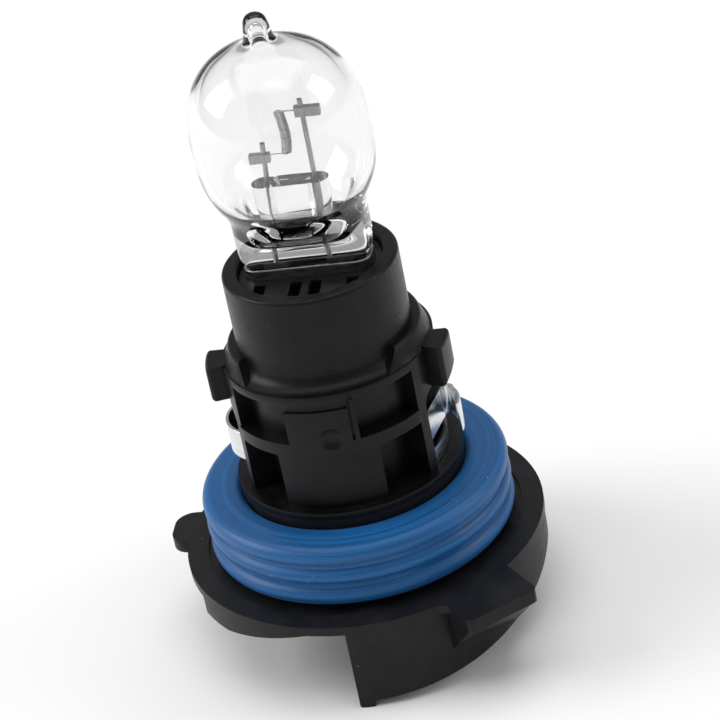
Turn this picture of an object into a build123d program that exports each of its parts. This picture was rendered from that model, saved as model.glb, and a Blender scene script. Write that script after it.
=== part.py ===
from build123d import *
import os
from math import cos, degrees, radians, sin, tan

os.makedirs("parts", exist_ok=True)

# A halogen signal lamp on a moulded bayonet base.
#
# Frame: the origin is on the lamp axis, in the plane of the flange's front face. +Z runs along the
# axis towards the glass tip, +X runs across the flat pinch, and -Y points at the wide front column.
# All sizes are millimetres. Angles round the axis are degrees from +X.

FRONT, BACK = -90, 90

# ---- flange, tabs and skirt ----------------------------------------------------------------------
flange_radius = 17.7
flange_thickness = 0.9
land_inner_radius = 15.6
seal_seat_drop = 0.2
rim_wall = 1.6
rim_start, rim_end = -148, -95
rim_depth = 2.8
rim_slope = 0.22
rim_fade_x = -3.7
tab_root = 3.0
tab_root_fillet = 0.8
thumb_tab_angle, thumb_tab_shift = 180, -1.6
thumb_tab_width = 5.2
thumb_tab_proud = 1.95
thumb_tab_thickness = 1.3
thumb_tab_fillet = 1.8
key_tab_angle, key_tab_shift = -52.5, 2.1
key_tab_width = 7.6
key_tab_proud = 4.2
key_tab_thickness = 1.4
key_tab_fillet = 0.6
key_root_fillet = 1.2
key_gusset_depth = 4.6
key_gusset_setback = 0.4
skirt_wall = 1.8
skirt_start, skirt_end = -90, 2
skirt_depth = 8.7
skirt_rise = 0.304
skirt_foot = 0.7
skirt_foot_angle = 5
skirt_corner = 1.4
skirt_foot_fillet = 0.3

# ---- hub and seal --------------------------------------------------------------------------------
hub_radius = 11.0
hub_wall = 1.5
hub_height = 7.6
floor_top = 0.6
seal_gap = 0.03
seal_wall_radius = 14.4
seal_foot_radius = 13.4
seal_crest_radius = 15.05
seal_rib_radius = 1.05
seal_rib_pitch = 2.15
seal_first_rib = 1.4
seal_rib_count = 3
seal_height = 6.9
seal_lip_chamfer = 0.45
seal_crown_fillet = 0.8

# ---- base body -----------------------------------------------------------------------------------
barrel_radius = 8.4
barrel_top = 29.7
barrel_rim_fillet = 0.35
bore_radius = 6.9
bore_floor = 18.4
core_radius = 7.6
core_bore_radius = 5.8
cove_radius = 1.6
barrel_root_step = 0.03
pilot_clearance = 0.15
collar_radius = 10.15
collar_top = 20.6
collar_rim = 0.8
cheek_half_angle = 46.0
cheek_inset = 0.05
cheek_root_depth = 0.4
cheek_rise = 0.2
cheek_slope = 0.9
cheek_end_chamfer = 1.7
cheek_fillet = 0.4
groove_radius = 8.7
lip_radius = 10.3
lip_bottom, lip_top = 14.2, 15.5
column_radius = 9.85
base_ring_top = 8.3
spigot_bottom = 2.0
spigot_gap = 0.05
block_half_angle, block_turn = 19.2, 0.8
block_top = 19.0
block_band_radius = 10.0
block_end_ridge, block_end_groove = 2.6, 1.4
block_groove_depth = 0.25
column_half_angle = 29.5
gusset_height = 3.0
gusset_taper = 25
gusset_inset = 0.1
rib_inner_angle, rib_outer_angle = 26.0, 32.5
window_top = 16.4
window_corner = 1.5
lug_angles = (-8.5, 188.5, 90.0)
lug_half_angle = 9.0
lug_radius = 11.8
lug_bottom, lug_top = 16.5, 20.8
lug_ramp = 0.7
lug_fillet = 0.45
dimple_angle = -85.0
dimple_height = 16.0
dimple_ball_radius = 1.9
dimple_depth = 0.4

# ---- connector and terminals ---------------------------------------------------------------------
shroud_length = 16.0
shroud_width = 9.6
shroud_wall = 1.2
shroud_depth = 8.1
shroud_offset = 1.2
shroud_fillet = 1.5
latch_width = 4.0
latch_reach = 0.8
latch_height = 1.6
latch_drop = 4.5
blade_width = 2.8
blade_thickness = 0.8
blade_tip_clearance = 1.0
blade_tip_chamfer = 0.6
blade_shoulder = 0.5
blade_shoulder_height = 1.0
leg_width = 1.8
leg_top = 14.2
terminal_gap = 0.03
carrier_radius = 5.7
carrier_height = 3.2

# ---- burner --------------------------------------------------------------------------------------
bulb_radius = 8.2
bulb_centre = 42.2
bulb_shoulder_radius, bulb_shoulder = 7.85, 46.0
bulb_waist_radius, bulb_waist = 7.75, 38.1
dome_radius, dome_height = 5.7, 50.0
bulb_wall = 1.05
crown_radius = 0.7
neck_radius = 6.3
neck_height = 34.8
neck_flare = 0.15
tip_root_radius, tip_root = 2.0, 52.5
tip_radius = 1.45
tip_top = 54.9
cavity_floor = 33.0
cavity_floor_half_length, cavity_floor_half_width = 4.8, 2.8
pinch_foot_width = 12.6
pinch_foot = 30.4
pinch_foot_fillet = 1.2
pinch_width = 11.6
pinch_thickness = 3.6
pinch_bottom = 21.0
post_radius = 0.24
post_bottom = 29.0
long_post_place = 2.15
long_post_top = 45.9
short_post_foot, short_post_head = -3.05, -2.1
short_post_top = 42.1
bridge_length = 7.2
bridge_place = -0.2
bridge_thickness = 2.4
bridge_bottom, bridge_top = 34.0, 38.1
bridge_fillet = 0.9
coil_radius = 0.48
coil_bore_radius = 0.3
coil_bottom, coil_top = 40.8, 45.0
coil_leg_radius = 0.09
coil_leg_inset = 0.1
post_tab_height = 0.85
post_tab_thickness = 0.7
long_tab_length, long_tab_place, long_tab_centre = 2.35, 2.65, 44.85
short_tab_length, short_tab_place, short_tab_centre = 1.95, -2.6, 40.6
foil_place = 3.0
foil_width = 2.4
foil_thickness = 0.06
foil_bottom = 24.0
foil_overlap = 1.2
weld_flat = 0.05
lead_radius = 0.35
lead_bottom = 11.5

# ---- holder and clip -----------------------------------------------------------------------------
holder_gap = 0.05
holder_top = 28.9
holder_throat_length, holder_throat_width = 8.4, 2.2
clip_wall = 0.25
clip_gap = 0.03
clip_bottom, clip_top = 24.0, 29.9
notch_width = 1.1
notch_depth = 1.6
notch_near, notch_far = 2.9, 5.5
notch_places = (-4.4, -0.95, 0.95, 4.4)

# ---- stainless springs ---------------------------------------------------------------------------
strip = 0.3
root_radius = 9.6
root_inner_angle, root_outer_angle = rib_inner_angle, 30.0
arc_end_angle = 21.0
arc_bottom, arc_top = 8.35, 10.0
blade_bottom, blade_top = 10.8, 13.9
slot_gap = 0.06
hinge_gap = 0.08
hook_path = ((9.12, -1.6), (9.62, 0.7), (10.28, 1.4), (10.9, 0.75), (11.6, -0.7), (11.62, -2.35))
bow_crest_rise, bow_crest_angle = 1.4, -175
bow_end_drop, bow_end_angle = 0.2, -198


def place(radius, angle, height=0):
    """The point at this radius, angle and height round the lamp axis."""
    return (radius * cos(radians(angle)), radius * sin(radians(angle)), height)


def sector(inner, outer, start, end):
    """A sketch of the ring sector between two radii and two angles."""
    with BuildSketch(Plane.XY) as shape:
        with BuildLine():
            outer_arc = CenterArc((0, 0), outer, start, end - start)
            inner_arc = CenterArc((0, 0), inner, start, end - start)
            Line(outer_arc @ 0, inner_arc @ 0)
            Line(outer_arc @ 1, inner_arc @ 1)
        make_face()
    return shape.sketch


def tab(angle, shift, width, proud):
    """A sketch of a flange tab: it starts inside the flange and ends this far past its edge."""
    with BuildSketch(Plane.XY) as shape:
        with PolarLocations(0, 1, angle):
            with Locations((flange_radius + (proud - tab_root) / 2, shift)):
                Rectangle(proud + tab_root, width)
    return shape.sketch


def tab_end(angle, shift, proud):
    """The middle of a flange tab's outer edge."""
    return Vector(flange_radius + proud, shift).rotate(Axis.Z, angle)


def radius_of(edge):
    """How far the middle of an edge lies from the lamp axis."""
    middle = edge.position_at(0.5)
    return (middle.X**2 + middle.Y**2) ** 0.5


# ==== rear housing ================================================================================
# The rim stiffens the flange's edge from below and fades out towards the front.
with BuildPart() as rim:
    with BuildSketch(Plane.XY.offset(-rim_depth)):
        add(sector(flange_radius - rim_wall, flange_radius, rim_start, rim_end))
    extrude(amount=rim_depth)
    fade = Plane(origin=(rim_fade_x, 0, -flange_thickness), z_dir=(-rim_slope, 0, 1))
    split(bisect_by=fade, keep=Keep.TOP)

# The skirt wall's lower edge climbs towards the back.
with BuildPart() as skirt:
    with BuildSketch(Plane.XY.offset(-skirt_depth - skirt_foot)):
        add(sector(flange_radius - skirt_wall, flange_radius, skirt_start, skirt_end))
    extrude(amount=skirt_depth + skirt_foot)
    climb = Plane(origin=(0, -flange_radius, -skirt_depth), z_dir=(0, -skirt_rise, 1))
    split(bisect_by=climb, keep=Keep.TOP)
    end_corner = place(flange_radius - skirt_wall / 2, skirt_end, -skirt_depth / 3)
    fillet(skirt.edges().sort_by_distance(end_corner)[0], skirt_corner)
    with BuildSketch(Plane.XY.offset(-skirt_depth - skirt_foot)):
        foot_end = skirt_start + skirt_foot_angle
        add(sector(flange_radius - skirt_wall, flange_radius, skirt_start, foot_end))
    extrude(amount=skirt_depth)
    foot_radius = flange_radius - skirt_wall / 2
    foot_corners = [
        skirt.edges().sort_by_distance(place(foot_radius, skirt_start, -skirt_depth - skirt_foot))[0],
        skirt.edges().sort_by_distance(place(foot_radius, foot_end, -skirt_depth - skirt_foot))[0],
        skirt.edges().sort_by_distance(place(foot_radius, foot_end, -skirt_depth))[0],
    ]
    fillet(foot_corners, skirt_foot_fillet)

# A gusset carries the key tab down into the skirt.
with BuildPart() as key_gusset:
    gusset_root = flange_radius - skirt_wall * 2 / 3
    along_tab = Plane(origin=(0, 0, 0), x_dir=place(1, key_tab_angle), z_dir=place(1, key_tab_angle - 90))
    with BuildSketch(along_tab.offset(-key_tab_shift - key_tab_width / 2)):
        with BuildLine():
            Polyline(
                (gusset_root, -key_tab_thickness),
                (flange_radius + key_tab_proud - key_gusset_setback, -key_tab_thickness),
                (gusset_root + key_gusset_setback, -key_tab_thickness - key_gusset_depth),
                (gusset_root, -key_tab_thickness - key_gusset_depth),
                close=True,
            )
        make_face()
    extrude(amount=key_tab_width)

flange_tabs = (
    (thumb_tab_angle, thumb_tab_shift, thumb_tab_width, thumb_tab_proud, thumb_tab_thickness),
    (key_tab_angle, key_tab_shift, key_tab_width, key_tab_proud, key_tab_thickness),
)
tab_fillets = (thumb_tab_fillet, key_tab_fillet)
terminal_place = foil_place + lead_radius + blade_thickness / 2

with BuildPart() as rear_housing:
    with BuildSketch(Plane.XY.offset(-flange_thickness)) as flange:
        Circle(flange_radius)
        for angle, shift, width, proud, _ in flange_tabs:
            add(tab(angle, shift, width, proud))
        roots = flange.vertices().filter_by(lambda v: abs(Vector(v).length - flange_radius) < 0.01)
        front_root, *other_roots = roots.sort_by_distance(place(flange_radius, FRONT))
        fillet(front_root, key_root_fillet)
        fillet(other_roots, tab_root_fillet)
        for (angle, shift, _, proud, _), corner in zip(flange_tabs, tab_fillets):
            fillet(flange.vertices().sort_by_distance(tab_end(angle, shift, proud))[:2], corner)
    extrude(amount=flange_thickness)
    for (angle, shift, width, proud, thickness), corner in zip(flange_tabs, tab_fillets):
        with BuildSketch(Plane.XY.offset(-thickness)) as pad:
            add(tab(angle, shift, width, proud))
            fillet(pad.vertices().sort_by_distance(tab_end(angle, shift, proud))[:2], corner)
        extrude(amount=thickness)
    add(rim.part)
    add(skirt.part)
    add(key_gusset.part)
    # the seal's seat lies just below the land round it
    with BuildSketch():
        Circle(land_inner_radius)
    extrude(amount=-seal_seat_drop, mode=Mode.SUBTRACT)
    # hub: a tube with a floor
    with BuildSketch(Plane.XY.offset(-flange_thickness)):
        Circle(hub_radius)
    extrude(amount=flange_thickness + hub_height)
    with BuildSketch(Plane.XY.offset(floor_top)):
        Circle(hub_radius - hub_wall)
    extrude(amount=hub_height - floor_top, mode=Mode.SUBTRACT)
    # connector shroud, open downwards, with the nose that latches the plug
    with BuildSketch(Plane.XY.offset(-flange_thickness)):
        with Locations((0, shroud_offset)):
            RectangleRounded(shroud_length, shroud_width, shroud_fillet)
            inner_fillet = max(shroud_fillet - shroud_wall, shroud_fillet / 4)
            RectangleRounded(
                shroud_length - 2 * shroud_wall,
                shroud_width - 2 * shroud_wall,
                inner_fillet,
                mode=Mode.SUBTRACT,
            )
    extrude(amount=flange_thickness - shroud_depth)
    shroud_back = shroud_offset + shroud_width / 2
    with BuildSketch(Plane.YZ.offset(-latch_width / 2)):
        with BuildLine():
            Polyline(
                (shroud_back - shroud_wall / 2, -latch_drop),
                (shroud_back + latch_reach, -latch_drop),
                (shroud_back, -latch_drop - latch_height),
                (shroud_back - shroud_wall / 2, -latch_drop - latch_height),
                close=True,
            )
        make_face()
    extrude(amount=latch_width)
    # slots that the terminal blades pass through
    with BuildSketch(Plane.XY.offset(-flange_thickness)):
        with Locations((-terminal_place, 0), (terminal_place, 0)):
            Rectangle(blade_thickness + 2 * terminal_gap, blade_width + 2 * terminal_gap)
    extrude(amount=flange_thickness + floor_top, mode=Mode.SUBTRACT)
rear_housing.part.label = "rear_housing"
export_step(rear_housing.part, "parts/rear_housing.step")

# ==== seal ========================================================================================
with BuildPart() as seal_ring:
    with BuildSketch(Plane.XZ) as seal_section:
        with BuildLine():
            bore = hub_radius + seal_gap
            Polyline(
                (bore, -seal_seat_drop),
                (seal_foot_radius, -seal_seat_drop),
                (seal_foot_radius, seal_first_rib),
                (seal_wall_radius, seal_first_rib),
                (seal_wall_radius, seal_height),
                (bore + seal_lip_chamfer, seal_height),
                (bore, seal_height - seal_lip_chamfer),
                close=True,
            )
        make_face()
        crown = seal_section.vertices().sort_by_distance((seal_wall_radius, seal_height))[0]
        fillet(crown, seal_crown_fillet)
        for rib in range(seal_rib_count):
            with Locations((seal_crest_radius - seal_rib_radius, seal_first_rib + rib * seal_rib_pitch)):
                Circle(seal_rib_radius)
    revolve(axis=Axis.Z)
seal_ring.part.label = "seal_ring"
export_step(seal_ring.part, "parts/seal_ring.step")

# ==== base body ===================================================================================
spigot_radius = hub_radius - hub_wall - spigot_gap
collar_bottom = collar_top - collar_rim
cove_top = collar_top + cove_radius
cove_root = barrel_radius + barrel_root_step
cheek_foot = collar_top - cheek_root_depth


def spread(half_angle, middle):
    """Start and end angles of a stretch centred on this angle."""
    return middle - half_angle, middle + half_angle


def lug(angle):
    """A locking lug at this angle; its underside climbs like a thread."""
    with BuildPart() as shape:
        with BuildSketch(Plane.XY.offset(lug_bottom)):
            add(sector(groove_radius, lug_radius, *spread(lug_half_angle, angle)))
        extrude(amount=lug_top - lug_bottom)
        slope = lug_ramp / (2 * lug_radius * sin(radians(lug_half_angle)))
        start = place(lug_radius, angle - lug_half_angle, lug_bottom)
        split(bisect_by=Plane(start, z_dir=place(slope, angle - 90, 1)), keep=Keep.TOP)
        fillet(shape.edges().filter_by(lambda e: radius_of(e) > lug_radius - 0.01), lug_fillet)
    return shape.part


# The collar rises into a sloping cheek on each side, above the lugs.
cheek_top = cove_top + cheek_rise
cheek_root_radius, cheek_foot_radius = bore_radius + cheek_inset, collar_radius - cheek_inset
with BuildPart() as cheeks:
    for middle in (0, 180):
        with BuildSketch(Plane.XZ.rotated((0, 0, middle - cheek_half_angle))):
            with BuildLine():
                Polyline(
                    (cheek_root_radius, cheek_foot),
                    (cheek_foot_radius, cheek_foot),
                    (cheek_foot_radius - cheek_slope, cheek_top),
                    (cheek_root_radius, cheek_top),
                    close=True,
                )
            make_face()
        revolve(axis=Axis.Z, revolution_arc=2 * cheek_half_angle)
    chamfer(cheeks.edges().filter_by(GeomType.LINE).group_by(Axis.Z)[-1], cheek_end_chamfer)
    crown_edges = cheeks.edges().filter_by_position(Axis.Z, cheek_top, cheek_top)
    fillet(crown_edges.filter_by(lambda e: radius_of(e) > barrel_radius), cheek_fillet)

# A gusset widens one side of each column where it meets the lip.
with BuildPart() as gussets:
    downwards = Plane(origin=(0, 0, lip_bottom), x_dir=(1, 0, 0), z_dir=(0, 0, -1))
    with BuildSketch(downwards):
        gusset_spread = degrees(gusset_height * tan(radians(gusset_taper)) / column_radius)
        for middle in (FRONT, BACK):
            gusset_end = middle + column_half_angle + gusset_spread
            add(sector(core_bore_radius + gusset_inset, column_radius, middle, gusset_end))
    extrude(amount=gusset_height, taper=gusset_taper)

with BuildPart() as base_body:
    with BuildSketch(Plane.XZ):
        with BuildLine():
            Polyline(
                (cove_root, cove_top),
                (barrel_radius, cheek_top + pilot_clearance),
                (barrel_radius, barrel_top),
                (bore_radius, barrel_top),
                (bore_radius, bore_floor),
                (core_bore_radius, bore_floor),
                (core_bore_radius, spigot_bottom),
                (spigot_radius, spigot_bottom),
                (spigot_radius, hub_height),
                (hub_radius, hub_height),
                (hub_radius, base_ring_top),
                (core_radius, base_ring_top),
                (core_radius, lip_bottom),
                (lip_radius, lip_bottom),
                (lip_radius, lip_top),
                (groove_radius, lip_top),
                (groove_radius, collar_bottom),
                (collar_radius, collar_bottom),
                (collar_radius, collar_top),
                (cove_root + cove_radius, collar_top),
            )
            CenterArc((cove_root + cove_radius, cove_top), cove_radius, 180, 90)
        make_face()
    revolve(axis=Axis.Z)
    rim_edge = base_body.edges().filter_by(GeomType.CIRCLE).filter_by_position(
        Axis.Z, barrel_top, barrel_top
    )
    fillet(rim_edge, barrel_rim_fillet)
    # blocks that close the collar's groove, front and back
    with BuildSketch(Plane.XY.offset(lip_bottom)):
        for middle in (FRONT + block_turn, BACK + block_turn):
            add(sector(core_radius, lip_radius, *spread(block_half_angle, middle)))
    extrude(amount=block_top - lip_bottom)
    with BuildSketch(Plane.XY.offset(lip_top)):
        for middle in (FRONT + block_turn, BACK + block_turn):
            ridge_start = middle + block_half_angle - block_end_ridge
            add(sector(core_radius, block_band_radius, *spread(block_half_angle, middle)))
            add(sector(core_radius, lip_radius, ridge_start, middle + block_half_angle))
    extrude(amount=collar_bottom - lip_top)
    with BuildSketch(Plane.XY.offset(lip_top)):
        for middle in (FRONT + block_turn, BACK + block_turn):
            ridge_start = middle + block_half_angle - block_end_ridge
            groove_floor = block_band_radius - block_groove_depth
            add(sector(groove_floor, lug_radius, ridge_start - block_end_groove, ridge_start))
    extrude(amount=collar_bottom - lip_top, mode=Mode.SUBTRACT)
    # wide columns below the blocks
    with BuildSketch(Plane.XY.offset(base_ring_top)):
        for middle in (FRONT, BACK):
            add(sector(core_radius, column_radius, *spread(column_half_angle, middle)))
    extrude(amount=lip_bottom - base_ring_top)
    add(gussets.part)
    # a wall on each side, flush with the collar, with a spring window that leaves a rib at each end
    with BuildSketch(Plane.XY.offset(base_ring_top)):
        for middle in (0, 180):
            add(sector(core_radius, collar_radius, *spread(rib_outer_angle, middle)))
    extrude(amount=collar_bottom - base_ring_top)
    with BuildSketch(Plane.XY.offset(base_ring_top)):
        for middle in (0, 180):
            add(sector(core_radius, lug_radius, *spread(rib_inner_angle, middle)))
    extrude(amount=window_top - base_ring_top, mode=Mode.SUBTRACT)
    with BuildSketch(Plane.XY.offset(lip_bottom)):
        for middle in (0, 180):
            add(sector(collar_radius, lug_radius, *spread(rib_outer_angle, middle)))
    extrude(amount=lip_top - lip_bottom, mode=Mode.SUBTRACT)
    window_corners = [
        base_body.edges().sort_by_distance(place((core_radius + collar_radius) / 2, angle, window_top))[0]
        for middle in (0, 180)
        for angle in spread(rib_inner_angle, middle)
    ]
    fillet(window_corners, window_corner)
    add(cheeks.part)
    for angle in lug_angles:
        add(lug(angle))
    # dimple in the front block
    with Locations(place(lip_radius - dimple_depth + dimple_ball_radius, dimple_angle, dimple_height)):
        Sphere(dimple_ball_radius, mode=Mode.SUBTRACT)
    # slots in the ribs for the roots and the far ends of the two spring clips
    with BuildSketch(Plane.XY.offset(arc_bottom - slot_gap)):
        slot_inner = root_radius - strip / 2 - slot_gap
        slot_outer = root_radius + strip / 2 + slot_gap
        for side in (0, 180):
            add(sector(slot_inner, slot_outer, side - root_outer_angle, side + root_outer_angle))
    extrude(amount=arc_top - arc_bottom + 2 * slot_gap, mode=Mode.SUBTRACT)
    with BuildSketch(Plane.XY.offset(arc_bottom - slot_gap)):
        add(sector(slot_inner, slot_outer, -root_outer_angle, -root_inner_angle))
        add(sector(slot_inner, slot_outer, 180 + root_inner_angle, 180 + root_outer_angle))
    extrude(amount=blade_top - arc_bottom + 2 * slot_gap, mode=Mode.SUBTRACT)
base_body.part.label = "base_body"
export_step(base_body.part, "parts/base_body.step")

# ==== spring clips ================================================================================
# Each clip is a stamped strip standing on edge. Its root sits in the slot of a front rib. A low arc
# runs round to the rear rib, and a taller blade above the arc springs outwards.
hinge_start, hinge_mid, hinge_end = hook_path[3:]
root_face = place(root_radius, -root_inner_angle)[:2]
with BuildPart() as right_clip:
    with BuildSketch(Plane.XY.offset(arc_bottom)):
        add(sector(root_radius - strip / 2, root_radius + strip / 2, -root_outer_angle, arc_end_angle))
    extrude(amount=arc_top - arc_bottom)
    with BuildSketch(Plane.XY.offset(arc_bottom)):
        add(
            sector(
                root_radius - strip / 2, root_radius + strip / 2, -root_outer_angle, -root_inner_angle
            )
        )
    extrude(amount=blade_top - arc_bottom)
    with BuildSketch(Plane.XY.offset(blade_bottom)):
        with BuildLine():
            ThreePointArc(root_face, hook_path[0], hook_path[1])
            ThreePointArc(hook_path[1], hook_path[2], hinge_start)
        trace(line_width=strip)
    extrude(amount=blade_top - blade_bottom)
right_clip.part.label = "right_clip"
export_step(right_clip.part, "parts/right_clip.step")

with BuildPart() as right_tongue:
    with BuildSketch(Plane.XY.offset(blade_bottom)):
        with BuildLine(mode=Mode.PRIVATE) as outer_leg:
            ThreePointArc(hinge_start, hinge_mid, hinge_end)
        leg = outer_leg.edges()[0]
        trace(leg.trim(hinge_gap / leg.length, 1), line_width=strip)
    extrude(amount=blade_top - blade_bottom)
right_tongue.part.label = "right_tongue"
export_step(right_tongue.part, "parts/right_tongue.step")

with BuildPart() as left_clip:
    with BuildSketch(Plane.XY.offset(arc_bottom)):
        add(
            sector(
                root_radius - strip / 2,
                root_radius + strip / 2,
                180 - arc_end_angle,
                180 + root_outer_angle,
            )
        )
    extrude(amount=arc_top - arc_bottom)
    with BuildSketch(Plane.XY.offset(arc_bottom)):
        add(
            sector(
                root_radius - strip / 2,
                root_radius + strip / 2,
                180 + root_inner_angle,
                180 + root_outer_angle,
            )
        )
    extrude(amount=blade_top - arc_bottom)
left_clip.part.label = "left_clip"
export_step(left_clip.part, "parts/left_clip.step")

with BuildPart() as left_leaf:
    with BuildSketch(Plane.XY.offset(blade_bottom)):
        with BuildLine(mode=Mode.PRIVATE) as bow:
            ThreePointArc(
                place(root_radius, 180 + root_inner_angle)[:2],
                place(root_radius + bow_crest_rise, bow_crest_angle)[:2],
                place(root_radius - bow_end_drop, bow_end_angle)[:2],
            )
        leaf = bow.edges()[0]
        trace(leaf.trim(hinge_gap / leaf.length, 1), line_width=strip)
    extrude(amount=blade_top - blade_bottom)
left_leaf.part.label = "left_leaf"
export_step(left_leaf.part, "parts/left_leaf.step")

# ==== terminals and their carrier =================================================================
# One flat stamping for each terminal: blade below the floor, shoulders on it, narrow leg above.
blade_tip = blade_tip_clearance - shroud_depth
shoulder_half = blade_width / 2 + blade_shoulder
shoulder_top_height = floor_top + blade_shoulder_height
with BuildPart() as long_post_terminal:
    with BuildSketch(Plane.YZ.offset(terminal_place - blade_thickness / 2)):
        with BuildLine() as half_outline:
            Polyline(
                (0, blade_tip),
                (blade_width / 2 - blade_tip_chamfer, blade_tip),
                (blade_width / 2, blade_tip + blade_tip_chamfer),
                (blade_width / 2, floor_top),
                (shoulder_half, floor_top),
                (shoulder_half, shoulder_top_height),
                (leg_width / 2, shoulder_top_height),
                (leg_width / 2, leg_top),
                (0, leg_top),
            )
            mirror(about=Plane.YZ)
        make_face()
    extrude(amount=blade_thickness)
long_post_terminal.part.label = "long_post_terminal"
export_step(long_post_terminal.part, "parts/long_post_terminal.step")

with BuildPart() as short_post_terminal:
    mirror(long_post_terminal.part, about=Plane.YZ)
short_post_terminal.part.label = "short_post_terminal"
export_step(short_post_terminal.part, "parts/short_post_terminal.step")

with BuildPart() as terminal_carrier:
    with BuildSketch(Plane.XY.offset(floor_top)):
        Circle(carrier_radius)
    extrude(amount=carrier_height)
    with BuildSketch(Plane.XY.offset(floor_top)):
        with Locations((-terminal_place, 0), (terminal_place, 0)):
            Rectangle(blade_thickness + 2 * terminal_gap, 2 * shoulder_half + 2 * terminal_gap)
    extrude(amount=blade_shoulder_height + terminal_gap, mode=Mode.SUBTRACT)
    with BuildSketch(Plane.XY.offset(floor_top)):
        with Locations((-terminal_place, 0), (terminal_place, 0)):
            Rectangle(blade_thickness + 2 * terminal_gap, leg_width + 2 * terminal_gap)
    extrude(amount=carrier_height, mode=Mode.SUBTRACT)
terminal_carrier.part.label = "terminal_carrier"
export_step(terminal_carrier.part, "parts/terminal_carrier.step")

# ==== wires and foils =============================================================================
# Each foil is welded to a flat on its post above and on its outer lead below.
foil_y = weld_flat - post_radius - foil_thickness / 2
lead_y = foil_y + foil_thickness / 2 + lead_radius - weld_flat
foils = {}
leads = {}
for name, side in (("long_post", 1), ("short_post", -1)):
    with BuildPart() as foil:
        with BuildSketch(Plane.XY.offset(foil_bottom)):
            with Locations((side * foil_place, foil_y)):
                Rectangle(foil_width, foil_thickness)
        extrude(amount=post_bottom + foil_overlap - foil_bottom)
    with BuildPart() as lead:
        with BuildSketch(Plane.XY.offset(lead_bottom)):
            with Locations((side * foil_place, lead_y)):
                Circle(lead_radius)
        extrude(amount=foil_bottom + foil_overlap - lead_bottom)
        add(foil.part, mode=Mode.SUBTRACT)
    foil.part.label = name + "_foil"
    lead.part.label = name + "_lead"
    foils[name] = foil.part
    leads[name] = lead.part
    export_step(foil.part, "parts/" + name + "_foil.step")
    export_step(lead.part, "parts/" + name + "_lead.step")

with BuildPart() as long_post:
    with BuildSketch(Plane.XY.offset(post_bottom)):
        with Locations((long_post_place, 0)):
            Circle(post_radius)
    extrude(amount=long_post_top - post_bottom)
    add(foils["long_post"], mode=Mode.SUBTRACT)
long_post.part.label = "long_post"
export_step(long_post.part, "parts/long_post.step")

foot = Vector(short_post_foot, 0, post_bottom)
head = Vector(short_post_head, 0, short_post_top)
with BuildPart() as short_post:
    with BuildSketch(Plane(foot, z_dir=head - foot)):
        Circle(post_radius)
    extrude(amount=(head - foot).length)
    add(foils["short_post"], mode=Mode.SUBTRACT)
short_post.part.label = "short_post"
export_step(short_post.part, "parts/short_post.step")

post_tabs = (
    ("long_post_tab", long_post, long_tab_place, long_tab_centre, long_tab_length),
    ("short_post_tab", short_post, short_tab_place, short_tab_centre, short_tab_length),
)
for name, post, across, height, length in post_tabs:
    with BuildPart() as post_tab:
        with BuildSketch(Plane.XY.offset(height - post_tab_height / 2)):
            with Locations((across, 0)):
                Rectangle(length, post_tab_thickness)
        extrude(amount=post_tab_height)
        add(post.part, mode=Mode.SUBTRACT)
    post_tab.part.label = name
    export_step(post_tab.part, "parts/" + name + ".step")

# The coil stands as a tube of its outer size, with a straight leg to each tab.
with BuildPart() as filament_coil:
    with BuildSketch(Plane.XY.offset(coil_bottom)):
        Circle(coil_radius)
    extrude(amount=coil_top - coil_bottom)
    leg_start = (coil_radius + coil_bore_radius) / 2
    top_leg = Plane(origin=(leg_start, 0, coil_top - coil_leg_inset), z_dir=(1, 0, 0))
    with BuildSketch(top_leg):
        Circle(coil_leg_radius)
    extrude(amount=long_tab_place - long_tab_length / 2 - leg_start)
    low_leg = Plane(origin=(-leg_start, 0, coil_bottom + coil_leg_inset), z_dir=(-1, 0, 0))
    with BuildSketch(low_leg):
        Circle(coil_leg_radius)
    extrude(amount=-short_tab_place - short_tab_length / 2 - leg_start)
    with BuildSketch(Plane.XY.offset(coil_bottom)):
        Circle(coil_bore_radius)
    extrude(amount=coil_top - coil_bottom, mode=Mode.SUBTRACT)
filament_coil.part.label = "filament_coil"
export_step(filament_coil.part, "parts/filament_coil.step")

# ==== glass =======================================================================================
with BuildPart() as glass_bridge:
    with BuildSketch(Plane.XY.offset(bridge_bottom)):
        with Locations((bridge_place, 0)):
            Rectangle(bridge_length, bridge_thickness)
    extrude(amount=bridge_top - bridge_bottom)
    fillet(glass_bridge.edges(), bridge_fillet)
    add(long_post.part, mode=Mode.SUBTRACT)
    add(short_post.part, mode=Mode.SUBTRACT)
glass_bridge.part.label = "glass_bridge"
export_step(glass_bridge.part, "parts/glass_bridge.step")


def bulb_side(inset):
    """The bulb's side from the neck up to the dome, this far inside its outer surface."""
    waist = (bulb_waist_radius - inset, bulb_waist)
    shoulder = (bulb_shoulder_radius - inset, bulb_shoulder)
    hollow_radius = (neck_radius + bulb_waist_radius) / 2 - neck_flare - inset
    hollow = (hollow_radius, (neck_height + bulb_waist) / 2)
    ThreePointArc((neck_radius - inset, neck_height), hollow, waist)
    ThreePointArc(waist, (bulb_radius - inset, bulb_centre), shoulder)
    return shoulder


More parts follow.
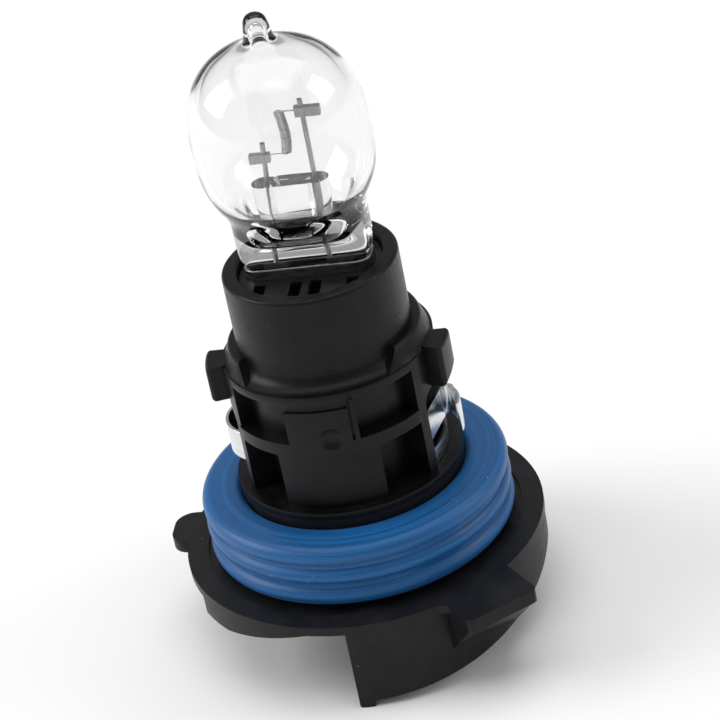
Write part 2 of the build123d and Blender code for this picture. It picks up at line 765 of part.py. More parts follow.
with BuildPart() as glass_bulb:
    with BuildSketch(Plane.XZ):
        with BuildLine():
            shoulder = bulb_side(0)
            ThreePointArc(shoulder, (dome_radius, dome_height), (tip_root_radius, tip_root))
            tip_side = (tip_radius, tip_top - tip_radius)
            Line((tip_root_radius, tip_root), tip_side)
            tip_bulge = tip_radius * cos(radians(45))
            ThreePointArc(tip_side, (tip_bulge, tip_top - tip_radius + tip_bulge), (0, tip_top))
            Polyline((0, tip_top), (0, neck_height), (neck_radius, neck_height))
        make_face()
    revolve(axis=Axis.Z)
    # the neck flattens into the pinch
    with BuildSketch(Plane.XY.offset(neck_height)):
        Circle(neck_radius)
    with BuildSketch(Plane.XY.offset(pinch_foot)):
        RectangleRounded(pinch_foot_width, pinch_thickness, pinch_foot_fillet)
    loft()
    with BuildSketch(Plane.XY.offset(pinch_foot)):
        RectangleRounded(pinch_width, pinch_thickness, pinch_foot_fillet)
    extrude(amount=pinch_bottom - pinch_foot)
    # the gas space
    with BuildSketch(Plane.XZ):
        with BuildLine():
            shoulder = bulb_side(bulb_wall)
            crown_height = tip_root - bulb_wall
            slope = (dome_radius - bulb_wall / 2, dome_height - bulb_wall)
            ThreePointArc(shoulder, slope, (crown_radius, crown_height))
            Polyline(
                (crown_radius, crown_height),
                (0, crown_height),
                (0, neck_height),
                (neck_radius - bulb_wall, neck_height),
            )
        make_face()
    revolve(axis=Axis.Z, mode=Mode.SUBTRACT)
    with BuildSketch(Plane.XY.offset(neck_height)):
        Circle(neck_radius - bulb_wall)
    with BuildSketch(Plane.XY.offset(cavity_floor)):
        Ellipse(cavity_floor_half_length, cavity_floor_half_width)
    loft(mode=Mode.SUBTRACT)
    for sealed in (long_post.part, short_post.part, *foils.values(), *leads.values()):
        add(sealed, mode=Mode.SUBTRACT)
glass_bulb.part.label = "glass_bulb"
export_step(glass_bulb.part, "parts/glass_bulb.step")

# ==== pinch clip and burner holder ================================================================
clip_inner_length = pinch_width + 2 * clip_gap
clip_inner_width = pinch_thickness + 2 * clip_gap
clip_outer_length = clip_inner_length + 2 * clip_wall
clip_outer_width = clip_inner_width + 2 * clip_wall
with BuildPart() as pinch_clip:
    with BuildSketch(Plane.XY.offset(clip_bottom)):
        RectangleRounded(clip_outer_length, clip_outer_width, pinch_foot_fillet + clip_wall)
        RectangleRounded(clip_inner_length, clip_inner_width, pinch_foot_fillet, mode=Mode.SUBTRACT)
    extrude(amount=clip_top - clip_bottom)
pinch_clip.part.label = "pinch_clip"
export_step(pinch_clip.part, "parts/pinch_clip.step")

with BuildPart() as burner_holder:
    with BuildSketch(Plane.XY.offset(bore_floor)):
        Circle(bore_radius - holder_gap)
    extrude(amount=holder_top - bore_floor)
    with BuildSketch(Plane.XY.offset(clip_bottom)):
        RectangleRounded(
            clip_outer_length + 2 * clip_gap,
            clip_outer_width + 2 * clip_gap,
            pinch_foot_fillet + clip_wall + clip_gap,
        )
    extrude(amount=holder_top - clip_bottom, mode=Mode.SUBTRACT)
    with BuildSketch(Plane.XY.offset(pinch_bottom)):
        RectangleRounded(clip_inner_length, clip_inner_width, pinch_foot_fillet)
    extrude(amount=clip_bottom - pinch_bottom, mode=Mode.SUBTRACT)
    with BuildSketch(Plane.XY.offset(bore_floor)):
        RectangleRounded(holder_throat_length, holder_throat_width, holder_throat_width / 3)
    extrude(amount=pinch_bottom - bore_floor, mode=Mode.SUBTRACT)
    with BuildSketch(Plane.XY.offset(holder_top)):
        notch_middle = (notch_near + notch_far) / 2
        for side in (-1, 1):
            with Locations(*[(across, side * notch_middle) for across in notch_places]):
                Rectangle(notch_width, notch_far - notch_near)
    extrude(amount=-notch_depth, mode=Mode.SUBTRACT)
burner_holder.part.label = "burner_holder"
export_step(burner_holder.part, "parts/burner_holder.step")
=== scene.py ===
# %% [markdown]
# # A halogen signal lamp on a bayonet base
#
# The lamp has a clear quartz burner, a black moulded base with two stainless spring clips, a blue
# silicone seal and a keyed flange. Its engineering model is given in model.glb, so the first step
# is
# to load that model as a fixed frame. Everything made here is in metres, in the frame's own axes:
# +Z runs up the lamp towards the glass tip, and the origin lies in the flange's front face.

# %% Load the frame
from math import asin, atan2, copysign, cos, degrees, hypot, pi, radians, sin

import bmesh
import bpy
from mathutils import Matrix, Vector


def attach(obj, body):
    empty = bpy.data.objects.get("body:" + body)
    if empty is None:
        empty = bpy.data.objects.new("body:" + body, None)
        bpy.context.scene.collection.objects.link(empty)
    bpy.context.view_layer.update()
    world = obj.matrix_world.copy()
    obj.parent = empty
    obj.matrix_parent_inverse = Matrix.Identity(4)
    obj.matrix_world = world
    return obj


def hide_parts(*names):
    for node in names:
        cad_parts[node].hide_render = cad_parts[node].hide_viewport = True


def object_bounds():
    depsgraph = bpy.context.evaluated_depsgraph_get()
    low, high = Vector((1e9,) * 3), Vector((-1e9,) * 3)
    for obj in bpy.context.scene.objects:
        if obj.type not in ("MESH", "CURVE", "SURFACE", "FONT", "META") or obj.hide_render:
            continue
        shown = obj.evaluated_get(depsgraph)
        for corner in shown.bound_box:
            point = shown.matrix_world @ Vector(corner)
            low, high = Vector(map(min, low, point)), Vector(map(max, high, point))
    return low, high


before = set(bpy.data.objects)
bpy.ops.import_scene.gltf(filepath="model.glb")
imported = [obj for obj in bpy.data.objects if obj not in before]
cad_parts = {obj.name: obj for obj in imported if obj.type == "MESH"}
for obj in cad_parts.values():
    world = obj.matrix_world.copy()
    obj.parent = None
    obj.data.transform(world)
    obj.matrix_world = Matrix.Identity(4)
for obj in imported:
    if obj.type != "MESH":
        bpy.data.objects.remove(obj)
cad_low, cad_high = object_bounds()
mm = 0.001
print("CAD box in mm", [round(side / mm, 2) for side in cad_high - cad_low])

# %% [markdown]
# ## Camera
#
# A small object looks most natural through a long lens from some way off, which keeps its upright
# lines nearly parallel. The camera stands a little to the right, looks down on the lamp and is
# rolled, so the lamp leans to the left in the render. A rolled camera is easiest to build from
# three perpendicular directions: the render's right, its top and the way back to the camera.

# %% Camera
camera_place = Vector((56.41, -241.82, 158.81)) * mm
camera_azimuth = radians(12.5)
camera_elevation = radians(29.575)
camera_roll = radians(-11.66)

flat_right = Vector((cos(camera_azimuth), sin(camera_azimuth), 0))
towards_camera = Vector((
    sin(camera_azimuth) * cos(camera_elevation),
    -cos(camera_azimuth) * cos(camera_elevation),
    sin(camera_elevation),
))
flat_up = towards_camera.cross(flat_right)
picture_right = cos(camera_roll) * flat_right + sin(camera_roll) * flat_up
picture_up = towards_camera.cross(picture_right)

lens = bpy.data.cameras.new("studio_camera")
lens.lens = 150
lens.sensor_width = 36
lens.clip_start = 0.01
camera = bpy.data.objects.new("studio_camera", lens)
bpy.context.scene.collection.objects.link(camera)
turn = Matrix((picture_right, picture_up, towards_camera)).transposed()
camera.matrix_world = Matrix.Translation(camera_place) @ turn.to_4x4()
bpy.context.scene.camera = camera
print("camera distance in mm", round(camera_place.length / mm))

# %% [markdown]
# ## Floor and light
#
# Glass is best lit in a white tent, which is a pale floor and large soft lamps to the left, to
# the right and overhead. Clear glass shows only what it bends and mirrors, so the size of
# the lights matters more than their number. Area lights give soft edges at little cost.

# %% Floor
floor_height, floor_half_side = cad_low.z, 3
floor_shape = bmesh.new()
bmesh.ops.create_grid(floor_shape, x_segments=1, y_segments=1, size=floor_half_side)
bmesh.ops.translate(floor_shape, verts=floor_shape.verts, vec=(0, 0, floor_height))
floor_mesh = bpy.data.meshes.new("floor")
floor_shape.to_mesh(floor_mesh)
floor_shape.free()
floor = bpy.data.objects.new("floor", floor_mesh)
bpy.context.scene.collection.objects.link(floor)
paper = bpy.data.materials.new("white_paper")
paper.use_nodes = True
paper_shader = paper.node_tree.nodes["Principled BSDF"]
paper_shader.inputs["Base Color"].default_value = (0.96, 0.96, 0.96, 1)
paper_shader.inputs["Roughness"].default_value = 0.9
paper_shader.inputs["Specular IOR Level"].default_value = 0.1
floor.data.materials.append(paper)

# %% Lights
lamp_middle = Vector((0, 0, 0.02))


def soft_light(name, place, size, watts):
    """A square area light that looks at the middle of the lamp."""
    light = bpy.data.lights.new(name, "AREA")
    light.size = size
    light.energy = watts
    holder = bpy.data.objects.new(name, light)
    holder.location = place
    aim = lamp_middle - holder.location
    holder.rotation_mode = "QUATERNION"
    holder.rotation_quaternion = aim.to_track_quat("-Z", "Y")
    bpy.context.scene.collection.objects.link(holder)
    print(name, "watts", watts)


soft_light("overhead_light", Vector((0.0, 0.1, 0.9)), 1.0, 4.6)
soft_light("left_light", Vector((-0.75, -0.05, 0.45)), 0.5, 3.9)
soft_light("right_light", Vector((0.75, 0.1, 0.4)), 0.4, 1.3)
world = bpy.data.worlds.new("white_tent")
world.use_nodes = True
tent = world.node_tree.nodes["Background"]
tent.inputs["Color"].default_value = (1, 1, 1, 1)
tent.inputs["Strength"].default_value = 0.375
bpy.context.scene.world = world
bpy.context.scene.view_settings.view_transform = "Standard"

# %% [markdown]
# ## Surface effects that several materials share
#
# Moulded plastic is never one flat black: it has a fine grain from the mould, cloudy patches of
# more and less shine, and light scuffs. Each effect is a shader node group, built once and set to
# its own values in each material. The groups read Object coordinates, so patterns keep their size.

# %% Node helpers
def new_group(name, inputs, outputs):
    """An empty shader node group with these named sockets, and its two end nodes."""
    group = bpy.data.node_groups.new(name, "ShaderNodeTree")
    for label, value in inputs:
        kind = "NodeSocketVector" if isinstance(value, tuple) else "NodeSocketFloat"
        group.interface.new_socket(label, in_out="INPUT", socket_type=kind).default_value = value
    for label in outputs:
        group.interface.new_socket(label, in_out="OUTPUT", socket_type="NodeSocketFloat")
    return group, group.nodes.new("NodeGroupInput"), group.nodes.new("NodeGroupOutput")


def feed(tree, socket, source):
    """Links a node's output to a socket, or sets the socket to a plain value."""
    if isinstance(source, bpy.types.NodeSocket):
        tree.links.new(source, socket)
    elif source is not None:
        socket.default_value = source


def math_node(tree, operation, first, second=None):
    """The output of a Math node."""
    made = tree.nodes.new("ShaderNodeMath")
    made.operation = operation
    feed(tree, made.inputs[0], first)
    feed(tree, made.inputs[1], second)
    return made.outputs[0]


def noise_node(tree, where, scale, detail=3.0, roughness=0.55):
    """The grey output of a Noise texture at these coordinates."""
    made = tree.nodes.new("ShaderNodeTexNoise")
    feed(tree, made.inputs["Vector"], where)
    feed(tree, made.inputs["Scale"], scale)
    made.inputs["Detail"].default_value = detail
    made.inputs["Roughness"].default_value = roughness
    return made.outputs["Fac"]


def range_node(tree, value, low, high, to_low=0.0, to_high=1.0):
    """A value moved smoothly from one range to another, and held inside it."""
    made = tree.nodes.new("ShaderNodeMapRange")
    made.interpolation_type = "SMOOTHSTEP"
    for label, source in (("Value", value), ("From Min", low), ("From Max", high)):
        feed(tree, made.inputs[label], source)
    feed(tree, made.inputs["To Min"], to_low)
    feed(tree, made.inputs["To Max"], to_high)
    return made.outputs["Result"]


def stretched(tree, where, scale):
    """Coordinates scaled by different amounts along the three axes."""
    made = tree.nodes.new("ShaderNodeVectorMath")
    made.operation = "MULTIPLY"
    feed(tree, made.inputs[0], where)
    feed(tree, made.inputs[1], scale)
    return made.outputs[0]


# %% Moulded skin
skin, skin_in, skin_out = new_group(
    "moulded_skin",
    [("Grain Scale", 6000.0), ("Patch Scale", 260.0), ("Scuff Amount", 0.5)],
    ["Tone", "Shine", "Height"],
)
skin_where = skin.nodes.new("ShaderNodeTexCoord").outputs["Object"]
grain = noise_node(skin, skin_where, skin_in.outputs["Grain Scale"], 2.0)
patches = noise_node(skin, skin_where, skin_in.outputs["Patch Scale"], 5.0, 0.6)
streaks = noise_node(skin, stretched(skin, skin_where, (1.0, 1.0, 9.0)), 420.0, 4.0, 0.65)
scuffs = range_node(skin, streaks, 0.56, 0.72)
scuffs = math_node(skin, "MULTIPLY", scuffs, skin_in.outputs["Scuff Amount"])
skin.links.new(range_node(skin, patches, 0.35, 0.7), skin_out.inputs["Tone"])
shine = math_node(skin, "ADD", math_node(skin, "MULTIPLY", patches, 0.6), scuffs)
skin.links.new(shine, skin_out.inputs["Shine"])
skin.links.new(
    math_node(skin, "SUBTRACT", grain, math_node(skin, "MULTIPLY", scuffs, 0.4)),
    skin_out.inputs["Height"],
)

# %% Dust specks
dust, dust_in, dust_out = new_group("dust_specks", [("Speck Scale", 900.0)], ["Mask"])
dust_where = dust.nodes.new("ShaderNodeTexCoord").outputs["Object"]
cells = dust.nodes.new("ShaderNodeTexVoronoi")
dust.links.new(dust_where, cells.inputs["Vector"])
dust.links.new(dust_in.outputs["Speck Scale"], cells.inputs["Scale"])
near = range_node(dust, cells.outputs["Distance"], 0.10, 0.05)
rare = range_node(dust, noise_node(dust, dust_where, 700.0, 1.0), 0.60, 0.68)
dust.links.new(math_node(dust, "MULTIPLY", near, rare), dust_out.inputs["Mask"])

# %% Lines left by a drawing die or a roll
lines, lines_in, lines_out = new_group(
    "drawn_lines",
    [("Stretch", (1.0, 1.0, 12.0)), ("Line Scale", 900.0)],
    ["Tone", "Height"],
)
lines_where = lines.nodes.new("ShaderNodeTexCoord").outputs["Object"]
along = stretched(lines, lines_where, lines_in.outputs["Stretch"])
line_noise = noise_node(lines, along, lines_in.outputs["Line Scale"], 5.0, 0.7)
lines.links.new(range_node(lines, line_noise, 0.3, 0.7), lines_out.inputs["Tone"])
lines.links.new(line_noise, lines_out.inputs["Height"])

# %% Rings left on the seal by its turned mould
rings, rings_in, rings_out = new_group("mould_rings", [("Ring Scale", 2600.0)], ["Tone", "Height"])
rings_where = rings.nodes.new("ShaderNodeTexCoord").outputs["Object"]
across = rings.nodes.new("ShaderNodeVectorMath")
across.operation = "LENGTH"
rings.links.new(stretched(rings, rings_where, (1.0, 1.0, 0.0)), across.inputs[0])
split = rings.nodes.new("ShaderNodeSeparateXYZ")
rings.links.new(rings_where, split.inputs[0])
turned = rings.nodes.new("ShaderNodeCombineXYZ")
rings.links.new(across.outputs["Value"], turned.inputs["X"])
rings.links.new(split.outputs["Z"], turned.inputs["Y"])
wander = math_node(rings, "MULTIPLY", split.outputs["X"], 0.02)
rings.links.new(wander, turned.inputs["Z"])
ring_noise = noise_node(rings, turned.outputs["Vector"], rings_in.outputs["Ring Scale"], 4.0, 0.7)
rings.links.new(range_node(rings, ring_noise, 0.35, 0.65), rings_out.inputs["Tone"])
rings.links.new(ring_noise, rings_out.inputs["Height"])

# %% [markdown]
# ## Materials
#
# Each finish is a Principled BSDF. What stays the same all over the surface is set on the shader
# itself, and what varies comes from the groups: the colour, the roughness and the bump.

# %% Material helpers
def new_material(name, constants):
    """A material with these constant values on its shader."""
    made = bpy.data.materials.new(name)
    made.use_nodes = True
    shader = made.node_tree.nodes["Principled BSDF"]
    for label, value in constants.items():
        shader.inputs[label].default_value = value
    return made, made.node_tree, shader


def place_group(tree, group, settings):
    """A node group placed in a material with its own values."""
    made = tree.nodes.new("ShaderNodeGroup")
    made.node_tree = group
    for label, value in settings.items():
        made.inputs[label].default_value = value
    return made


def two_tone(tree, mask, first, second):
    """A colour that goes from the first to the second as the mask goes from 0 to 1."""
    made = tree.nodes.new("ShaderNodeMix")
    made.data_type = "RGBA"
    feed(tree, made.inputs["Factor"], mask)
    feed(tree, made.inputs["A"], first if isinstance(first, bpy.types.NodeSocket) else (*first, 1))
    feed(tree, made.inputs["B"], (*second, 1))
    return made.outputs["Result"]


def bump(tree, shader, height, depth):
    """Feeds a height, worth this many metres from black to white, to the shader's normal."""
    made = tree.nodes.new("ShaderNodeBump")
    made.inputs["Distance"].default_value = depth
    tree.links.new(height, made.inputs["Height"])
    tree.links.new(made.outputs["Normal"], shader.inputs["Normal"])


# %% Black moulded plastic
def black_moulding(name, dark, pale, smooth, rough, scuff):
    """Satin black nylon with a mould grain, cloudy patches, scuffs and a little dust."""
    made, tree, shader = new_material(name, {"Specular IOR Level": 0.2})
    surface = place_group(tree, skin, {"Scuff Amount": scuff})
    specks = place_group(tree, dust, {"Speck Scale": 1100.0})
    base = two_tone(tree, surface.outputs["Tone"], dark, pale)
    colour = two_tone(tree, specks.outputs["Mask"], base, (0.16, 0.16, 0.16))
    tree.links.new(colour, shader.inputs["Base Color"])
    roughness = range_node(tree, surface.outputs["Shine"], 0.1, 1.0, smooth, rough)
    tree.links.new(roughness, shader.inputs["Roughness"])
    bump(tree, shader, surface.outputs["Height"], 0.006 * mm)
    return made


housing_black = black_moulding(
    "housing_black", (0.007, 0.007, 0.0078), (0.013, 0.013, 0.0145), 0.34, 0.62, 0.5
)
base_black = black_moulding(
    "base_black", (0.003, 0.003, 0.0033), (0.0065, 0.0065, 0.007), 0.32, 0.58, 0.6
)
holder_black = black_moulding(
    "holder_black", (0.006, 0.006, 0.006), (0.014, 0.014, 0.014), 0.32, 0.6, 0.8
)

# %% Blue silicone
blue_silicone, tree, shader = new_material(
    "blue_silicone", {"Specular IOR Level": 0.45, "Sheen Weight": 0.05, "Sheen Roughness": 0.4}
)
surface = place_group(tree, rings, {"Ring Scale": 2600.0})
specks = place_group(tree, dust, {"Speck Scale": 1300.0})
base = two_tone(tree, surface.outputs["Tone"], (0.0015, 0.072, 0.23), (0.004, 0.118, 0.35))
colour = two_tone(tree, specks.outputs["Mask"], base, (0.35, 0.45, 0.6))
tree.links.new(colour, shader.inputs["Base Color"])
roughness = range_node(tree, surface.outputs["Tone"], 0.0, 1.0, 0.36, 0.5)
tree.links.new(roughness, shader.inputs["Roughness"])
bump(tree, shader, surface.outputs["Height"], 0.010 * mm)

# %% Clear glass
def clear_glass(name, wave_scale, wave_depth):
    """Quartz glass with the slight waves of hot working and a faint smoky film."""
    made, tree, shader = new_material(
        name, {"Transmission Weight": 1.0, "IOR": 1.46, "Roughness": 0.0}
    )
    where = tree.nodes.new("ShaderNodeTexCoord").outputs["Object"]
    waves = noise_node(tree, where, wave_scale, 1.5, 0.4)
    film = range_node(tree, noise_node(tree, where, 90.0, 3.0), 0.4, 0.75)
    tree.links.new(
        two_tone(tree, film, (0.955, 0.957, 0.957), (0.93, 0.933, 0.935)),
        shader.inputs["Base Color"],
    )
    bump(tree, shader, waves, wave_depth)
    return made


envelope_glass = clear_glass("envelope_glass", 240.0, 0.04 * mm)
bridge_glass = clear_glass("bridge_glass", 500.0, 0.05 * mm)

# %% Metals
def drawn_metal(name, dark, pale, smooth, rough, stretch, scale, depth=0.004):
    """A bare metal with the lines of its rolling or drawing."""
    made, tree, shader = new_material(name, {"Metallic": 1.0})
    surface = place_group(tree, lines, {"Stretch": stretch, "Line Scale": scale})
    tree.links.new(
        two_tone(tree, surface.outputs["Tone"], dark, pale), shader.inputs["Base Color"]
    )
    roughness = range_node(tree, surface.outputs["Tone"], 0.0, 1.0, smooth, rough)
    tree.links.new(roughness, shader.inputs["Roughness"])
    bump(tree, shader, surface.outputs["Height"], depth * mm)
    return made


along_strip, along_wire = (1.0, 1.0, 14.0), (14.0, 14.0, 1.0)
spring_steel = drawn_metal(
    "spring_steel", (0.66, 0.67, 0.69), (0.80, 0.81, 0.82), 0.14, 0.26, along_strip, 420.0, 0.0015
)
clip_steel = drawn_metal(
    "clip_steel", (0.30, 0.30, 0.31), (0.46, 0.46, 0.47), 0.24, 0.42, along_strip, 400.0
)
molybdenum = drawn_metal(
    "molybdenum", (0.30, 0.30, 0.305), (0.48, 0.48, 0.485), 0.30, 0.45, along_wire, 700.0
)
tungsten = drawn_metal(
    "tungsten", (0.40, 0.40, 0.41), (0.60, 0.60, 0.61), 0.26, 0.4, (1.0, 1.0, 1.0), 2500.0
)
tinned_brass = drawn_metal(
    "tinned_brass", (0.62, 0.60, 0.55), (0.76, 0.74, 0.69), 0.22, 0.4, along_wire, 500.0
)
print("materials", len(bpy.data.materials))

# %% [markdown]
# ## From the frame's solids to finished mouldings
#
# The frame's solids are exact but have knife edges, and no mould makes those. A copy of each solid
# is merged into one surface, its flat areas are joined, and every sharp edge gets a small round.
# The round is what catches the light along an edge, so it does more for a black part than colour.

# %% Finishing helpers
soft_bend = radians(32)
merge_distance, flat_angle = 0.0005 * mm, radians(0.5)


def finish_piece(shape, name, material, body, nodes, crease=42):
    """Makes an object of a bmesh, puts it on the body it rides on, and hides the solids it stands
    for.
    """
    mesh = bpy.data.meshes.new(name)
    shape.to_mesh(mesh)
    shape.free()
    mesh.materials.append(material)
    mesh.shade_smooth()
    mesh.set_sharp_from_angle(angle=radians(crease))
    piece = bpy.data.objects.new(name, mesh)
    bpy.context.scene.collection.objects.link(piece)
    if body:
        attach(piece, body)
    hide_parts(*nodes)
    print(name, "faces", len(mesh.polygons))
    return piece


def even_normals(piece):
    """Shades large flats as flats between the small rounds."""
    weighted = piece.modifiers.new("weighted_normals", "WEIGHTED_NORMAL")
    weighted.keep_sharp = True
    weighted.weight = 80


def merged_copy(node):
    """One closed surface from a solid's loose triangles."""
    shape = bmesh.new()
    shape.from_mesh(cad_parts[node].data)
    bmesh.ops.remove_doubles(shape, verts=shape.verts, dist=merge_distance)
    bmesh.ops.dissolve_limit(
        shape, angle_limit=flat_angle, verts=shape.verts, edges=shape.edges
    )
    return shape


def round_edges(shape, width):
    """Rounds each edge that turns by more than a moulding's soft bend, and counts them."""
    sharp = [
        edge for edge in shape.edges
        if len(edge.link_faces) == 2 and edge.calc_face_angle(0) > soft_bend
    ]
    bmesh.ops.bevel(
        shape, geom=sharp, offset=width, offset_type="OFFSET", segments=2,
        profile=0.5, affect="EDGES", clamp_overlap=True, material=-1,
    )
    return len(sharp)


# %% Mouldings and stampings that keep the frame's shape
kept_shapes = (
    ("rear_housing", "housing_moulding", 0.16, housing_black, "black_plastic"),
    ("base_body", "base_moulding", 0.14, base_black, "black_plastic"),
    ("burner_holder", "holder_moulding", 0.12, holder_black, "holder_plastic"),
    ("terminal_carrier", "carrier_moulding", 0.12, holder_black, "holder_plastic"),
    ("pinch_clip", "clip_stamping", 0.05, clip_steel, "bright_steel"),
    ("long_post_terminal", "long_terminal_stamping", 0.06, tinned_brass, "tinned_brass"),
    ("short_post_terminal", "short_terminal_stamping", 0.06, tinned_brass, "tinned_brass"),
    ("long_post_tab", "long_tab_fold", 0.07, molybdenum, "molybdenum"),
    ("short_post_tab", "short_tab_fold", 0.07, molybdenum, "molybdenum"),
    ("left_clip", "left_clip_strip", 0.04, spring_steel, "spring_steel"),
    ("right_clip", "right_clip_strip", 0.04, spring_steel, "spring_steel"),
    ("left_leaf", "left_leaf_strip", 0.04, spring_steel, "spring_steel"),
    ("right_tongue", "right_tongue_strip", 0.04, spring_steel, "spring_steel"),
)
moving_body = {"left_leaf": "leaf", "right_tongue": "hook"}
for node, name, width, material, slot in kept_shapes:
    shape = merged_copy(node)
    rounded = round_edges(shape, width * mm)
    piece = finish_piece(shape, name, material, moving_body.get(node, "lamp"), [node])
    even_normals(piece)
    print(name, "rounded edges", rounded)

# %% [markdown]
# ## Wires and foils
#
# The posts, foils and leads are plain drawn wire and rolled foil, so the frame's own solids are
# right. They only need their metals.

# %% Wires
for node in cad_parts:
    if node.endswith(("_post", "_foil", "_lead")):
        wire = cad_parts[node]
        wire.data.materials.clear()
        wire.data.materials.append(molybdenum)
        wire.data.shade_smooth()
        wire.data.set_sharp_from_angle(angle=radians(30))

# %% [markdown]
# ## Seal
#
# The seal is a moulded silicone ring with three rounded ribs over a recessed foot. It is a turned
# shape, so one half section is drawn as a closed chain of vertices and spun round the lamp's axis.
# Round stretches of the section are arcs, worked out from a centre, a radius and two angles.

# %% Turning helpers
def arc(centre, radius, start, end, steps):
    """Points of a half section along an arc; the angles are degrees from the radial direction."""
    turns = [radians(start + (end - start) * step / steps) for step in range(steps + 1)]
    return [(centre[0] + radius * cos(turn), centre[1] + radius * sin(turn)) for turn in turns]


def turned_shape(section, steps, closed):
    """Spins a half section of (radius, height) points, in millimetres, round the lamp's axis."""
    shape = bmesh.new()
    corners = [shape.verts.new((radius * mm, 0, height * mm)) for radius, height in section]
    followers = corners[1:] + corners[:1] if closed else corners[1:]
    sides = [shape.edges.new(pair) for pair in zip(corners, followers)]
    bmesh.ops.spin(
        shape, geom=corners + sides, cent=(0, 0, 0), axis=(0, 0, 1), dvec=(0, 0, 0),
        angle=2 * pi, steps=steps, use_merge=True,
    )
    bmesh.ops.remove_doubles(shape, verts=shape.verts, dist=0.001 * mm)
    bmesh.ops.recalc_face_normals(shape, faces=shape.faces)
    return shape


# %% Seal
rib_radius, rib_centre, rib_pitch, first_rib = 1.05, 14.0, 2.15, 1.4
foot_turn, groove_turn, lip_turn = 75, 58, 88
seal_section = [(11.03, -0.2), (13.3, -0.2), (13.4, -0.1), (13.4, 0.5)]
for rib in range(3):
    ends = (-foot_turn if rib == 0 else -groove_turn, lip_turn if rib == 2 else groove_turn)
    seal_section += arc((rib_centre, first_rib + rib * rib_pitch), rib_radius, *ends, 14)
seal_section += [(13.5, 6.83), (12.7, 6.9), (11.7, 6.9)]
seal_section += [(11.4, 6.82), (11.2, 6.66), (11.03, 6.4)]
seal_steps = 160
seal_shape = turned_shape(seal_section, seal_steps, closed=True)
finish_piece(seal_shape, "seal", blue_silicone, "lamp", ["seal_ring"], 50)

# %% [markdown]
# ## Glass envelope
#
# The envelope is a quartz tube blown to a pear shape, drawn off to a sealed tip at the top and
# pressed flat at the bottom. Real glass has two surfaces, so the outer skin and the gas space are
# spun one after the other, and the gas space is turned inside out: its faces have to point away
# from the glass for light to bend the right way. A press squeezes the lower end of both. The bulb
# is blown by hand and eye, so it leans a little off the axis above the press.

# %% Press the lower end flat
def press_flat(shape, high, low, flatness, squareness):
    """Turns round sections into flat ones from the first height down to the second."""
    for vert in shape.verts:
        share = min(max((high - vert.co.z / mm) / (high - low), 0), 1)
        share = share * share * (3 - 2 * share)
        radius, turn = hypot(vert.co.x, vert.co.y), atan2(vert.co.y, vert.co.x)
        power = 2 / (2 + squareness * share)
        along = copysign(abs(cos(turn)) ** power, cos(turn))
        across = copysign(abs(sin(turn)) ** power, sin(turn))
        vert.co.x = radius * along
        vert.co.y = radius * across * (1 + (flatness - 1) * share)


# %% Glass envelope
outer_skin = (
    (0, 54.9), (0.6, 54.85), (1.05, 54.45), (1.2, 53.7), (1.32, 52.9), (1.45, 52.25), (2.0, 51.85),
    (3.35, 51.5), (4.95, 50.85), (6.4, 49.65), (7.4, 48.2), (8.05, 46.3), (8.35, 44.2),
    (8.42, 42.0), (8.32, 39.9), (7.9, 38.1), (7.1, 36.7), (6.5, 35.7), (6.3, 34.6), (6.25, 33.2),
    (6.3, 31.8), (6.3, 30.75),
    (5.9, 30.35), (5.8, 29.9), (5.8, 26.0), (5.8, 21.3), (5.6, 21.0), (3.0, 21.0), (0, 21.0),
)
gas_space = (
    (0, 54.0), (0.35, 53.85), (0.55, 53.3), (0.6, 52.6), (0.7, 51.95), (1.1, 51.45), (2.1, 51.2),
    (3.3, 50.9), (4.75, 50.15), (5.95, 48.95), (6.75, 47.5), (7.3, 45.9), (7.55, 44.1),
    (7.62, 42.0), (7.53, 40.05), (7.13, 38.4), (6.35, 37.1), (5.65, 36.1), (5.35, 35.2),
    (5.15, 34.3), (4.8, 33.5), (4.0, 33.05),
    (2.2, 32.95), (0, 32.9),
)
glass_lean, lean_start = 0.022, 36.0
glass_steps = 32
glass_shape = turned_shape(outer_skin, glass_steps, closed=False)
press_flat(glass_shape, high=36.2, low=30.7, flatness=0.30, squareness=4.0)
gas_shape = turned_shape(gas_space, glass_steps, closed=False)
press_flat(gas_shape, high=36.6, low=33.2, flatness=0.56, squareness=0.6)
bmesh.ops.reverse_faces(gas_shape, faces=gas_shape.faces)
gas_mesh = bpy.data.meshes.new("gas_space")
gas_shape.to_mesh(gas_mesh)
gas_shape.free()
glass_shape.from_mesh(gas_mesh)
bpy.data.meshes.remove(gas_mesh)
for vert in glass_shape.verts:
    vert.co.x -= glass_lean * max(0, vert.co.z - lean_start * mm)
envelope = finish_piece(
    glass_shape, "glass_envelope", envelope_glass, "lamp", ["glass_bulb"], 180
)
fine_skin = envelope.modifiers.new("fine_skin", "SUBSURF")
fine_skin.levels = fine_skin.render_levels = 2

# %% [markdown]
# ## Glass bridge
#
# Inside, a bar of pressed glass ties the two posts together. It is a round lobe where it grips a
# post and a flat web between them, so its outline is two arcs joined by straight sides. The
# outline is filled and extruded, and a bevel softens the rims the way heat rounds glass edges.

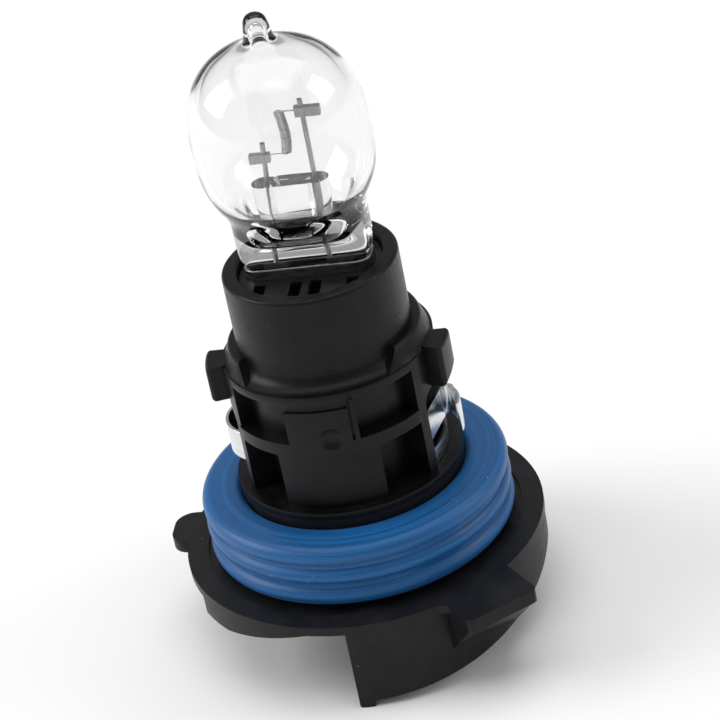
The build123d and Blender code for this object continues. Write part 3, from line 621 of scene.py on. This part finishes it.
# %% Glass bridge
bridge_bottom, bridge_top, bridge_rim = 34.0, 38.1, 0.28
left_lobe, right_lobe, lobe_radius, web_half = -2.75, 2.2, 1.2, 0.95
lobe_turn = 180 - degrees(asin(web_half / lobe_radius))
bridge_outline = arc((right_lobe, 0), lobe_radius, -lobe_turn, lobe_turn, 16)
bridge_outline += arc((left_lobe, 0), lobe_radius, 180 - lobe_turn, 180 + lobe_turn, 16)
bridge_shape = bmesh.new()
for across, deep in bridge_outline:
    bridge_shape.verts.new(Vector((across, deep, bridge_bottom)) * mm)
bmesh.ops.contextual_create(bridge_shape, geom=bridge_shape.verts[:])
raised = bmesh.ops.extrude_face_region(bridge_shape, geom=bridge_shape.faces[:])["geom"]
raised = [part for part in raised if isinstance(part, bmesh.types.BMVert)]
bmesh.ops.translate(
    bridge_shape, verts=raised, vec=(0, 0, (bridge_top - bridge_bottom) * mm)
)
bmesh.ops.recalc_face_normals(bridge_shape, faces=bridge_shape.faces)
rim_edges = [
    edge for edge in bridge_shape.edges
    if abs(edge.verts[0].co.z - edge.verts[1].co.z) < bridge_rim * mm
]
bmesh.ops.bevel(
    bridge_shape, geom=rim_edges, offset=bridge_rim * mm, offset_type="OFFSET", segments=4,
    profile=0.5, affect="EDGES", clamp_overlap=True, material=-1,
)
bridge = finish_piece(
    bridge_shape, "bridge", bridge_glass, "lamp", ["glass_bridge"]
)
even_normals(bridge)

# %% [markdown]
# ## Filament
#
# The filament is one wire, wound tight. A small circle is spun round the lamp's axis many times
# while each step also lifts it a little, which draws a true helix. The hot coil has sagged, so its
# middle bows to one side. Two straight legs carry it to the tabs.

# %% Filament
coil_radius, coil_bottom, coil_top = 0.425, 40.85, 44.95
wire_radius, coil_turns, steps_per_turn, coil_sag = 0.055, 27, 20, 0.22


def rod(shape, start, end, radius):
    """Adds a straight round rod between two points, in millimetres."""
    start, end = Vector(start) * mm, Vector(end) * mm
    lean = (end - start).to_track_quat("Z", "Y").to_matrix().to_4x4()
    bmesh.ops.create_cone(
        shape, cap_ends=True, segments=10, radius1=radius * mm, radius2=radius * mm,
        depth=(end - start).length, matrix=Matrix.Translation((start + end) / 2) @ lean,
    )


coil_shape = bmesh.new()
wire_start = Matrix.Translation(Vector((coil_radius, 0, coil_bottom)) * mm)
wire_start = wire_start @ Matrix.Rotation(pi / 2, 4, "X")
ring = bmesh.ops.create_circle(
    coil_shape, segments=8, radius=wire_radius * mm, cap_ends=False, matrix=wire_start
)["verts"]
ring_edges = list({edge for vert in ring for edge in vert.link_edges})
lift = (coil_top - coil_bottom) / (coil_turns * steps_per_turn)
bmesh.ops.spin(
    coil_shape, geom=ring + ring_edges, cent=(0, 0, 0), axis=(0, 0, 1),
    dvec=(0, 0, lift * mm), angle=2 * pi * coil_turns, steps=coil_turns * steps_per_turn,
    use_merge=False,
)
bmesh.ops.holes_fill(coil_shape, edges=coil_shape.edges, sides=8)
for vert in coil_shape.verts:
    share = (vert.co.z / mm - coil_bottom) / (coil_top - coil_bottom)
    vert.co.x += coil_sag * mm * max(0, 1 - (2 * share - 1) ** 2)
upper_leg_end, lower_leg_end = 1.5, -1.65
rod(coil_shape, (coil_radius, 0, coil_top), (upper_leg_end, 0, coil_top), wire_radius)
rod(coil_shape, (coil_radius, 0, coil_bottom), (lower_leg_end, 0, coil_bottom), wire_radius)
bmesh.ops.recalc_face_normals(coil_shape, faces=coil_shape.faces)
finish_piece(
    coil_shape, "filament", tungsten, "lamp", ["filament_coil"], 60
)
